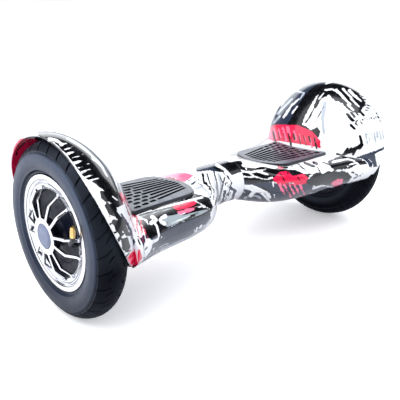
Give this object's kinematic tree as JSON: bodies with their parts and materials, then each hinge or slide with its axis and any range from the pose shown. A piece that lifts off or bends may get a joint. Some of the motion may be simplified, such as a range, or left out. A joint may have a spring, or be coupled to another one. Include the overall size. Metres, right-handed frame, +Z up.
{
  "type": "self balancing hoverboard",
  "caption": "Two-wheeled self balancing board: twisting body halves with foot mats, domed wheel arches and hub motor wheels on pneumatic tyres.",
  "frame": {"origin": "on the ground, midway between the two wheels, straight below the axle line", "axes": "+X along the axle line towards the right wheel, -Y forwards, +Z up"},
  "size_m": [0.6472, 0.268, 0.2648],
  "materials": {
    "printed_shell": "high gloss abstract print under clear coat",
    "printed_shell_low": "high gloss abstract print under clear coat",
    "tyre_rubber": "moulded road tread",
    "black_rubber": "matt moulded",
    "polished_cover": "polished",
    "dark_rim": "dark satin",
    "cast_aluminium": "as cast",
    "steel": "machined",
    "hub_cap_grey": "satin",
    "brass": "turned",
    "copper_winding": "enamelled wire on laminations",
    "circuit_board": "lacquered",
    "battery_wrap": "shrink wrapped cells",
    "bush_bronze": "sintered bronze"
  },
  "bodies": {
    "left_half": {"left_axle": "steel", "left_axle_clamp": "steel", "left_bottom_shell": "printed_shell_low", "left_chassis": "cast_aluminium", "left_front_clamp_bolt": "steel", "left_inner_shell_screw": "steel", "left_outer_shell_screw": "steel", "left_rear_clamp_bolt": "steel", "left_sensor_board": "circuit_board", "left_stator": "copper_winding", "left_top_shell": "printed_shell", "battery_pack": "battery_wrap", "pivot_tube": "steel", "retaining_ring": "steel", "charge_port": "steel", "link_cable": "black_rubber"},
    "right_half": {"right_axle": "steel", "right_axle_clamp": "steel", "right_bottom_shell": "printed_shell_low", "right_chassis": "cast_aluminium", "right_front_clamp_bolt": "steel", "right_inner_shell_screw": "steel", "right_outer_shell_screw": "steel", "right_rear_clamp_bolt": "steel", "right_sensor_board": "circuit_board", "right_stator": "copper_winding", "right_top_shell": "printed_shell", "main_board": "circuit_board", "pivot_bush": "bush_bronze", "neck_collar": "printed_shell"},
    "left_wheel": {"left_tyre": "tyre_rubber", "left_inner_tube": "black_rubber", "left_rim": "dark_rim", "left_wheel_cover": "polished_cover", "left_magnet_ring": "steel", "left_motor_cover": "dark_rim", "left_hub_cap": "hub_cap_grey", "left_valve_stem": "black_rubber", "left_outer_bearing": "steel", "left_inner_bearing": "steel"},
    "right_wheel": {"right_tyre": "tyre_rubber", "right_inner_tube": "black_rubber", "right_rim": "dark_rim", "right_wheel_cover": "polished_cover", "right_magnet_ring": "steel", "right_motor_cover": "dark_rim", "right_hub_cap": "hub_cap_grey", "right_valve_stem": "black_rubber", "right_outer_bearing": "steel", "right_inner_bearing": "steel"},
    "charge_port_cap_body": {"charge_port_cap": "black_rubber"},
    "left_foot_mat_body": {"left_foot_mat": "black_rubber"},
    "left_valve_cap_body": {"left_valve_cap": "brass"},
    "power_button_body": {"power_button": "black_rubber"},
    "right_foot_mat_body": {"right_foot_mat": "black_rubber"},
    "right_valve_cap_body": {"right_valve_cap": "brass"}
  },
  "joints": [
    {"name": "center_twist", "type": "hinge", "parent": "left_half", "child": "right_half", "pos_m": [0, 0, 0.127], "axis": [1, 0, 0], "range_deg": [-15, 15], "stiffness_Nm_per_rad": 2},
    {"name": "left_wheel_spin", "type": "hinge", "parent": "left_half", "child": "left_wheel", "pos_m": [-0.289, 0, 0.127], "axis": [1, 0, 0], "continuous": true},
    {"name": "right_wheel_spin", "type": "hinge", "parent": "right_half", "child": "right_wheel", "pos_m": [0.289, 0, 0.127], "axis": [1, 0, 0], "continuous": true},
    {"name": "left_mat_press", "type": "slide", "parent": "left_half", "child": "left_foot_mat_body", "axis": [0, 0, -1], "range_m": [0, 0.0015], "stiffness_N_per_m": 4000},
    {"name": "right_mat_press", "type": "slide", "parent": "right_half", "child": "right_foot_mat_body", "axis": [0, 0, -1], "range_m": [0, 0.0015], "stiffness_N_per_m": 4000},
    {"name": "power_button_press", "type": "slide", "parent": "left_half", "child": "power_button_body", "axis": [0, 0, 1], "range_m": [0, 0.0015], "stiffness_N_per_m": 300},
    {"name": "charge_cap_swing", "type": "hinge", "parent": "left_half", "child": "charge_port_cap_body", "pos_m": [-0.068, 0.0396, 0.0825], "axis": [1, 0, 0], "range_deg": [0, 110]},
    {"name": "left_valve_cap_off", "type": "slide", "parent": "left_wheel", "child": "left_valve_cap_body", "axis": [-0.1716, -0.4291, 0.8868], "range_m": [0, 0.01]},
    {"name": "right_valve_cap_off", "type": "slide", "parent": "right_wheel", "child": "right_valve_cap_body", "axis": [0.1716, 0.4291, 0.8868], "range_m": [0, 0.01]}
  ]
}
